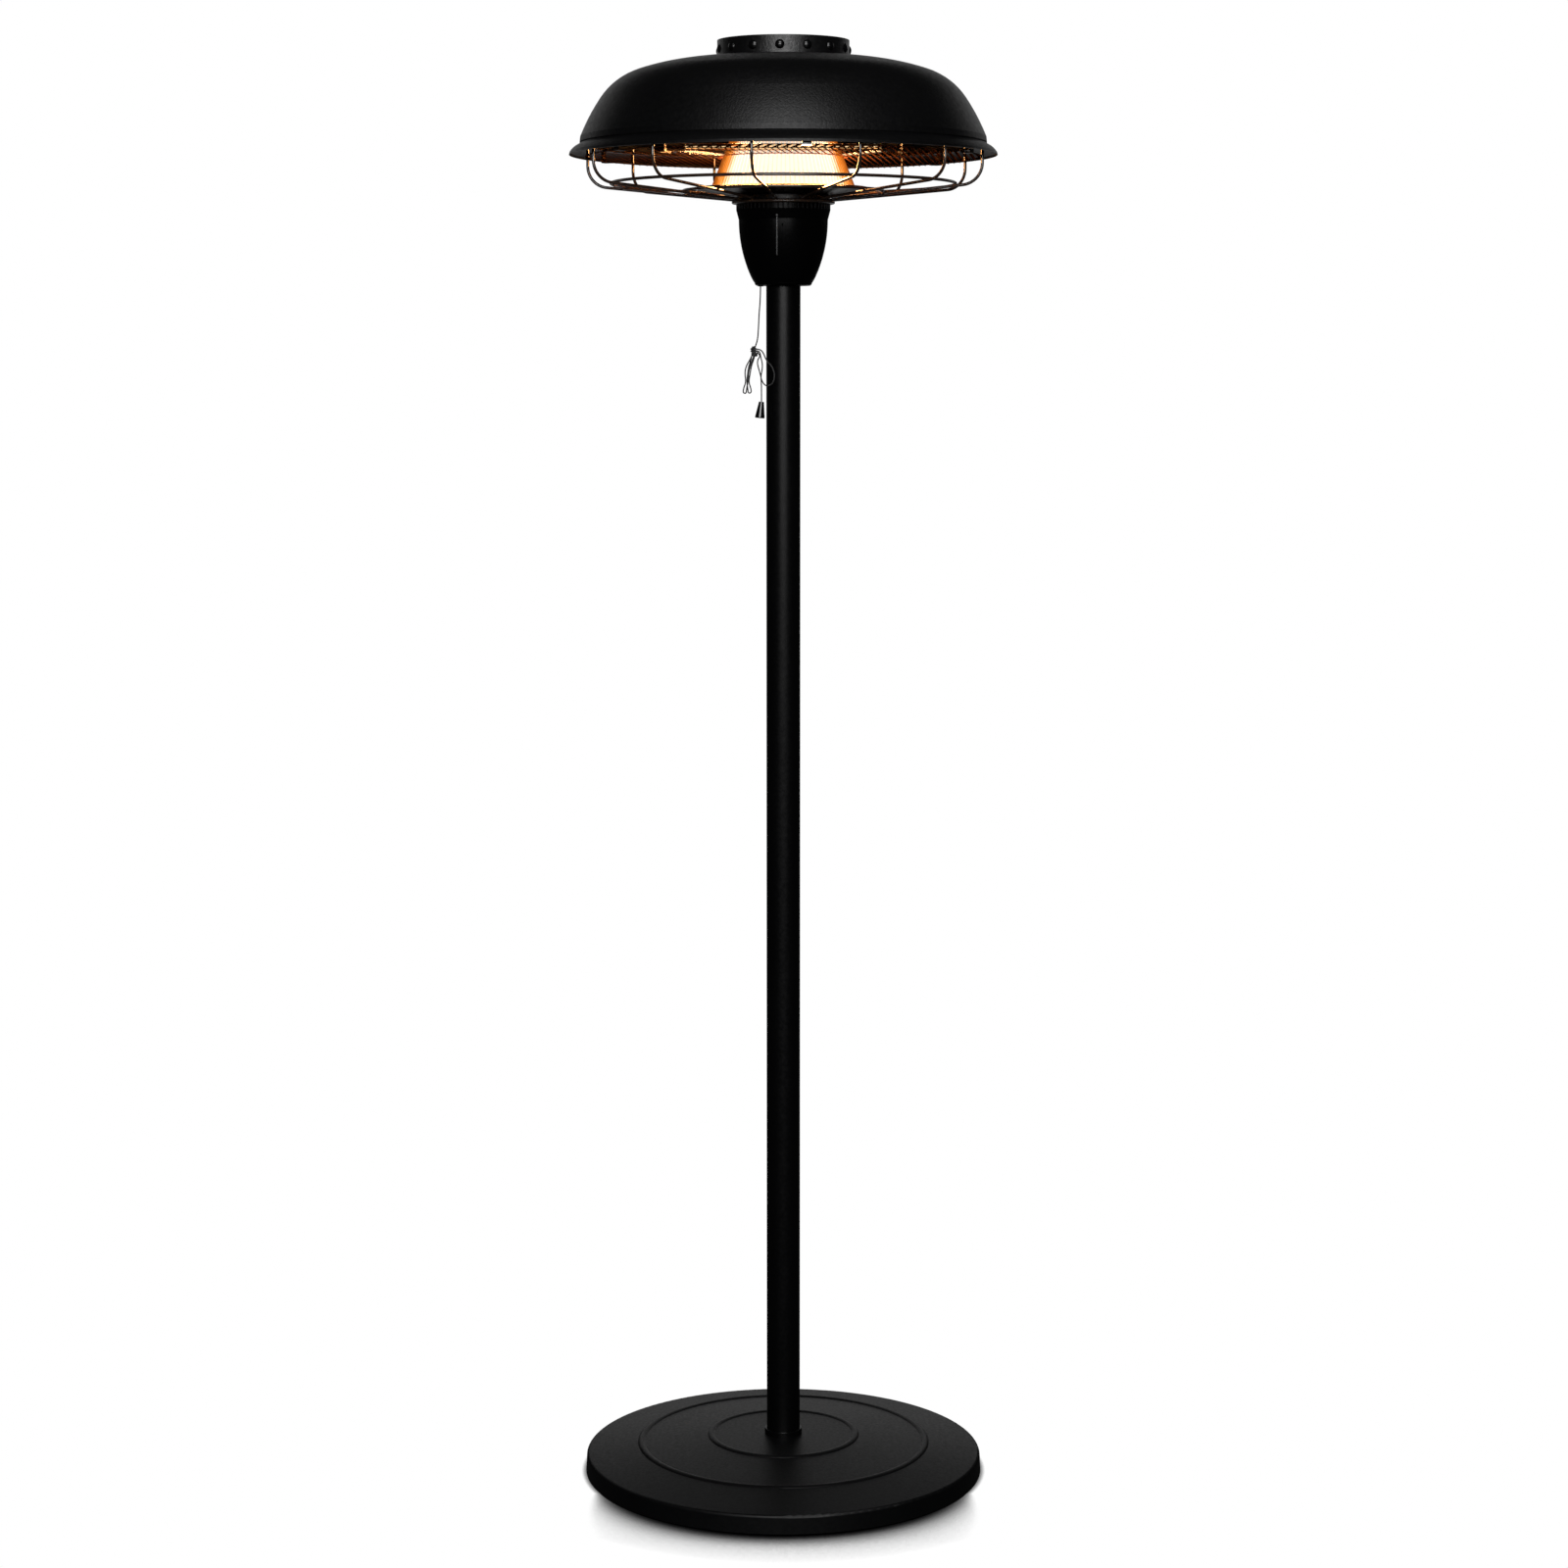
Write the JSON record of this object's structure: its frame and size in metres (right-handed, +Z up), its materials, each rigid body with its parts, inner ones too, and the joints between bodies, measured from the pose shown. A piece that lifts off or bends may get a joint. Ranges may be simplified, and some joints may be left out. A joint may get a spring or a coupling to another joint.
{
  "type": "patio heater",
  "caption": "Free-standing electric patio heater with a weighted round base, slim pole, pull-cord switch and a riveted dome shade over a caged, glowing fluted cone.",
  "frame": {"origin": "on the floor under the pole's axis", "axes": "+Z up along the pole; -Y is the front, with the groove of the switch housing; the pull cord hangs on the -X side"},
  "size_m": [0.559, 0.559, 1.9182],
  "materials": {
    "cover_paint": "satin",
    "ballast": "rough cast",
    "bottom_paint": "matt",
    "foot_rubber": "matt",
    "zinc": "zinc plated",
    "plug_iron": "raw",
    "trim_plastic": "glossy",
    "pole_paint": "satin",
    "grommet_rubber": "matt",
    "socket_alloy": "cast",
    "housing_plastic": "glossy",
    "hub_paint": "glossy",
    "column_steel": "plated",
    "hot_cone": "bright, lit by the lamps",
    "quartz": "clear",
    "filament": "glowing",
    "cap_ceramic": "unglazed",
    "lead_sleeve": "braided sleeve",
    "mirror_alloy": "polished",
    "cutout_ceramic": "unglazed",
    "shade_paint": "satin powder coat",
    "band_paint": "satin",
    "rivet_paint": "glossy",
    "guard_paint": "satin, heat resistant",
    "switch_plastic": "matt",
    "spring_steel": "bright",
    "cord_textile": "woven",
    "knob_plastic": "glossy",
    "brass": "plain"
  },
  "bodies": {
    "stand": {"base_cover": "cover_paint", "base_weight": "ballast", "base_bottom_plate": "bottom_paint", "rubber_feet": "foot_rubber", "base_screws": "zinc", "foot_washer": "zinc", "foot_bolt": "zinc", "pole_plug": "plug_iron", "foot_collar": "trim_plastic", "pole_lower": "pole_paint", "pole_middle": "pole_paint", "pole_upper": "pole_paint", "coupler_lower": "zinc", "coupler_upper": "zinc", "cable_grommet": "grommet_rubber", "pole_socket": "socket_alloy", "socket_set_screws": "zinc", "bell_housing": "housing_plastic", "bell_screws": "zinc", "collar_ring": "housing_plastic", "hub_neck": "hub_paint", "hub_pan": "hub_paint", "centre_column": "column_steel", "column_nuts": "zinc", "hub_bolts": "zinc", "hub_nuts": "zinc", "fluted_cone": "hot_cone", "lamp_tubes": "quartz", "lamp_filaments": "filament", "lamp_end_caps": "cap_ceramic", "lamp_holders": "mirror_alloy", "lamp_leads": "lead_sleeve", "inner_reflector": "mirror_alloy", "thermal_cutout": "cutout_ceramic", "shade": "shade_paint", "crown_band": "band_paint", "crown_cap": "band_paint", "crown_rivets": "rivet_paint", "mesh_guard": "guard_paint", "cage_ribs": "guard_paint", "cage_outer_hoop": "guard_paint", "cage_middle_hoop": "guard_paint", "cage_inner_hoop": "guard_paint", "cage_top_hoop": "guard_paint", "guard_brackets": "guard_paint", "switch_body": "switch_plastic", "switch_cover": "switch_plastic", "switch_bracket": "zinc", "switch_spring": "spring_steel", "cord_eyelet": "trim_plastic", "tip_switch_body": "switch_plastic", "tip_switch_cover": "switch_plastic", "terminal_block": "cap_ceramic", "terminal_screws": "brass"},
    "pull": {"switch_plunger": "switch_plastic", "pull_cord": "cord_textile", "cord_knot": "cord_textile", "pull_knob": "knob_plastic"},
    "rotor": {"switch_rotor": "switch_plastic"},
    "pendulum": {"tip_pendulum": "brass"}
  },
  "joints": [
    {"name": "cord_pull", "type": "slide", "parent": "stand", "child": "pull", "axis": [0, 0, -1], "range_m": [0, 0.012], "stiffness_N_per_m": 300, "springref_m": -0.01, "deforming": ["switch_spring"]},
    {"name": "switch_turn", "type": "hinge", "parent": "stand", "child": "rotor", "pos_m": [-0.03833, -0.01484, 1.654], "axis": [-0.9325, -0.3611, 0], "range_deg": [0, 45]},
    {"name": "tip_swing", "type": "hinge", "parent": "stand", "child": "pendulum", "pos_m": [0, 0.037, 1.667], "axis": [1, 0, 0], "range_deg": [-15, 15]}
  ],
  "couplings": [
    {"joint": "switch_turn", "follows": "cord_pull", "rad_per_m": 65.4}
  ]
}
